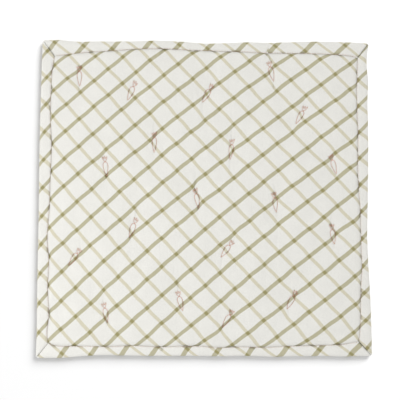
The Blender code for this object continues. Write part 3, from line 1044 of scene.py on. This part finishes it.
# Bumps: height in metres and strength.
CRINKLE_BUMP = (0.0009, 0.85)
CREASE_BUMP = (0.0015, 0.6)
YARN_BUMP = (0.00022, 0.5)
PLY_BUMP = (0.0001, 0.6)
LINE_SOFT = 0.6  # the edge of a line of the check fades over this far to either side
YARN_WANDER = 1.1  # a yarn strays less than this to either side
SLUBS = 0.09  # how much lighter or darker than the cloth a slub is
PATCHES = 0.018
SPECKLE = (0.04, 0.2)  # how strongly the weave shows on the ground and on the lines
FOLD_SHADE = (0.06, 0.55)  # painted shade: how much darker folded cloth is painted on the ground and on the lines
PLY_SLANT = (4200.0, 3400.0)  # radians to a metre, along the thread and round it


def cloth_coordinates(tree):
    uv = tree.nodes.new("ShaderNodeUVMap")
    uv.uv_map = "cloth"
    split = tree.nodes.new("ShaderNodeSeparateXYZ")
    tree.links.new(uv.outputs["UV"], split.inputs[0])
    return uv.outputs["UV"], split.outputs["X"], split.outputs["Y"]


def checked_cotton():
    """Plain-woven cotton with the woven check, both in the cloth's own grain."""
    material, tree, shader = new_material("checked_cotton")
    uv, u, v = cloth_coordinates(tree)
    wander = mapped(tree, noise(tree, uv, *WANDER_NOISE), 0.0, 1.0, -YARN_WANDER * MM, YARN_WANDER * MM)
    u_yarn, v_yarn = maths(tree, "ADD", u, wander), maths(tree, "ADD", v, wander)
    turn = 2 * math.pi / (YARN_PITCH * MM)
    over = maths(tree, "SINE", maths(tree, "MULTIPLY", u_yarn, turn))
    weave = maths(tree, "MULTIPLY", over, maths(tree, "SINE", maths(tree, "MULTIPLY", v_yarn, turn)))
    dark = band(tree, v_yarn, DARK.pitch * MM, DARK.width * MM, LINE_SOFT * MM)
    pale = band(tree, u_yarn, PALE.pitch * MM, PALE.width * MM, LINE_SOFT * MM)
    plain = mixed(tree, pale, CREAM, PALE_LINE)
    crossed = mixed(tree, pale, DARK_LINE, CROSSING)
    colour = mixed(tree, dark, plain, crossed)
    # dyed yarns pass over and under cream ones, so the lines are speckled more than the ground
    lined = maths(tree, "MAXIMUM", dark, pale)
    speckle = maths(tree, "MULTIPLY", weave, mapped(tree, lined, 0.0, 1.0, *SPECKLE))
    slubs = mapped(tree, noise(tree, uv, *SLUB_NOISE), 0.3, 0.7, -SLUBS, SLUBS)
    patches = mapped(tree, noise(tree, uv, *PATCH_NOISE), 0.3, 0.7, -PATCHES, PATCHES)
    tone = maths(tree, "ADD", maths(tree, "ADD", speckle, slubs), maths(tree, "ADD", patches, 1.0))
    # painted shade where the cloth is folded onto itself and lies in two layers, which shows most in its
    # dyed yarns
    shade_mask = tree.nodes.new("ShaderNodeAttribute")
    shade_mask.attribute_name = "painted_shade"
    shade_depth = maths(tree, "MULTIPLY", shade_mask.outputs["Fac"], mapped(tree, lined, 0.0, 1.0, *FOLD_SHADE))
    tone = maths(tree, "MULTIPLY", tone, maths(tree, "SUBTRACT", 1.0, shade_depth))
    grey = tree.nodes.new("ShaderNodeCombineXYZ")
    feed(tree, grey, {"X": tone, "Y": tone, "Z": tone})
    crinkle = bump(tree, noise(tree, uv, *CRINKLE_NOISE), *CRINKLE_BUMP)
    # washed cotton is also faintly creased up and down the quilt
    stretch = tree.nodes.new("ShaderNodeVectorMath")
    stretch.operation = "MULTIPLY"
    place = tree.nodes.new("ShaderNodeTexCoord").outputs["Object"]
    feed(tree, stretch, {0: place, 1: CREASE_STRETCH})
    creased = bump(tree, noise(tree, stretch.outputs[0], *CREASE_NOISE), *CREASE_BUMP, Normal=crinkle)
    finish = {
        "Base Color": mixed(tree, 1.0, colour, grey.outputs[0], "MULTIPLY"),
        "Roughness": mapped(tree, slubs, -SLUBS, SLUBS, 0.82, 0.95),
        "Specular IOR Level": 0.2,
        "Sheen Weight": 0.12,
        "Sheen Roughness": 0.5,
        "Normal": bump(tree, weave, *YARN_BUMP, Normal=creased),
    }
    feed(tree, shader, finish)
    return material


def coral_thread():
    """Twisted cotton thread: slanting plies along each stitch, dyed unevenly from coral to russet."""
    material, tree, shader = new_material("coral_thread")
    uv, u, v = cloth_coordinates(tree)
    along, around = maths(tree, "MULTIPLY", u, PLY_SLANT[0]), maths(tree, "MULTIPLY", v, PLY_SLANT[1])
    ply = maths(tree, "SINE", maths(tree, "ADD", along, around))
    russet = mapped(tree, noise(tree, uv, *DYE_NOISE), *DYE_RANGE, 0.0, 1.0, smooth=True)
    dyed = mixed(tree, russet, CORAL, RUSSET)
    # painted shade between the plies
    shaded = mixed(tree, 1.0, dyed, PLY_SHADE, "MULTIPLY")
    tone = mapped(tree, ply, -1.0, 1.0, 0.0, 1.0)
    finish = {
        "Base Color": mixed(tree, tone, shaded, dyed),
        "Roughness": mapped(tree, ply, -1.0, 1.0, 0.75, 0.6),
        "Specular IOR Level": 0.3,
        "Sheen Weight": 0.2,
        "Normal": bump(tree, ply, *PLY_BUMP),
    }
    feed(tree, shader, finish)
    return material


# ---- scene


def soft_light(name, azimuth_deg, elevation_deg, distance, size, share, receivers):
    """A square light that gives this share of full brightness at the quilt, on the receivers alone."""
    azimuth, elevation = math.radians(azimuth_deg), math.radians(elevation_deg)
    level = distance * math.cos(elevation)
    place = Vector((level * math.cos(azimuth), level * math.sin(azimuth), distance * math.sin(elevation)))
    data = bpy.data.lights.new(name, "AREA")
    data.shape = "SQUARE"
    data.size = size
    data.energy = share * math.pi**2 * distance**2 / math.sin(elevation)
    light = placed(name, data)
    light.location = place
    light.rotation_mode = "QUATERNION"
    light.rotation_quaternion = (-place).to_track_quat("-Z", "Y")
    light.light_linking.receiver_collection = receivers


FRAME_WIDTH = 1.2376  # what the camera sees across, at the quilt's height
CAMERA_HEIGHT = 3.6
LOOK_AT = (-0.0118, -0.0031)
# Azimuth from +X, elevation, distance, size and share of full brightness.
FLOOR_LIGHT = (53.0, 28.0, 14.0, 7.0, 0.57)
QUILT_LIGHTS = {
    "side_light": (200.0, 40.0, 1.4, 0.8, 0.095),
    "raking_light": (140.0, 35.0, 8.0, 3.0, 0.07),
    "fill_light": (0.0, 90.0, 4.0, 5.0, 0.30),
}
SKY = 0.7
FLOOR_SIZE = 12.0
FLOOR_DROP = 0.0003  # keeps the floor clear of the quilt's flat underside
FLOOR_GLOW = 0.012
WHITE = (1.0, 1.0, 1.0, 1.0)
PAPER = (0.85, 0.85, 0.85, 1.0)


def stage_and_light():
    scene = bpy.context.scene
    scene.view_settings.view_transform = "Standard"
    world = bpy.data.worlds.new("studio")
    world.use_nodes = True
    background = world.node_tree.nodes["Background"]
    feed(world.node_tree, background, {"Color": WHITE, "Strength": SKY})
    scene.world = world
    bpy.ops.mesh.primitive_plane_add(size=FLOOR_SIZE, location=(0, 0, -FLOOR_DROP))
    floor = bpy.context.object
    floor.name = "floor"
    paper, tree, shader = new_material("paper")
    feed(tree, shader, {"Base Color": PAPER, "Roughness": 0.9, "Specular IOR Level": 0.0})
    feed(tree, shader, {"Emission Color": WHITE, "Emission Strength": FLOOR_GLOW})
    floor.data.materials.append(paper)
    floor_only = bpy.data.collections.new("lit_floor")
    floor_only.objects.link(floor)
    soft_light("floor_light", *FLOOR_LIGHT, floor_only)
    camera_data = bpy.data.cameras.new("camera")
    camera_data.lens = camera_data.sensor_width * CAMERA_HEIGHT / FRAME_WIDTH
    camera = placed("camera", camera_data)
    camera.location = (*LOOK_AT, CAMERA_HEIGHT + ROLL_Z * MM)
    scene.camera = camera


def light_quilt(pieces):
    quilt_only = bpy.data.collections.new("lit_quilt")
    for piece in pieces:
        quilt_only.objects.link(piece)
    for name, settings in QUILT_LIGHTS.items():
        soft_light(name, *settings, quilt_only)


def main():
    stage_and_light()
    cotton, coral = checked_cotton(), coral_thread()
    pad = make_pad(filled_cover())
    pad.data.materials.append(cotton)
    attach(pad, "root")
    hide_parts("quilt_pad")
    graph = bpy.context.evaluated_depsgraph_get()
    trees = {"pad": BVHTree.FromObject(pad, graph)}
    for side in SIDES:
        edge, across = make_edge(side)
        edge.data.materials.append(cotton)
        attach(edge, "root")
        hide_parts(f"binding_{side}")
        length = float(np.hypot(*np.subtract(*ends_of(side, "outer"))))
        graph.update()
        trees[side] = BVHTree.FromObject(edge, graph)
    for side in SIDES:
        cloths = [trees["pad"], trees[side]]
        seam = thread_mesh(f"seam_{side}", [seam_stitch_line(side)], SEAM_STITCH, cloths)
        seam.data.materials.append(coral)
        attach(seam, "root")
    lines = [line for motif in MOTIFS for line in motif_lines(motif)]
    motifs = thread_mesh("motif_stitches", lines, MOTIF_STITCH, [trees["pad"]])
    motifs.data.materials.append(coral)
    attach(motifs, "root")
    names = ["pad", "motif_stitches", *(f"{kind}_{side}" for kind in ("edge", "seam") for side in SIDES)]
    light_quilt(bpy.data.objects[name] for name in names)


main()
